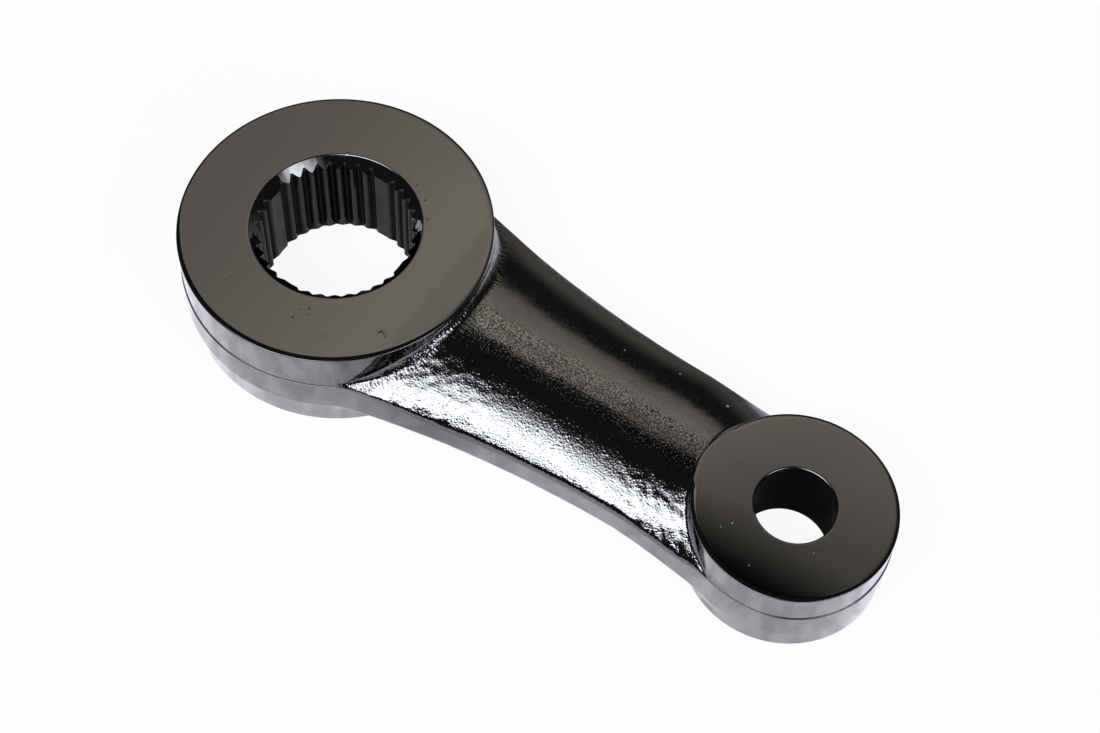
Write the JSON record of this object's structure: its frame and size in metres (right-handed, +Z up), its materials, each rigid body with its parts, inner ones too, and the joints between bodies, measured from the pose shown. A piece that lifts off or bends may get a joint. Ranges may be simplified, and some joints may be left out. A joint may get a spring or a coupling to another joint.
{
  "type": "pitman arm",
  "caption": "Forged steering pitman arm: a thick boss with a splined bore and a smaller boss with a tapered stud bore, joined by a crowned, waisted shank.",
  "frame": {"origin": "on the splined bore's axis, on the plane that the lower faces of both bosses rest on", "axes": "+X from the splined bore to the stud bore, +Z up along both bores"},
  "size_m": [0.1613, 0.0648, 0.025],
  "materials": {
    "enamel": "gloss"
  },
  "bodies": {
    "root": {"pitman_arm": "enamel"}
  },
  "joints": []
}
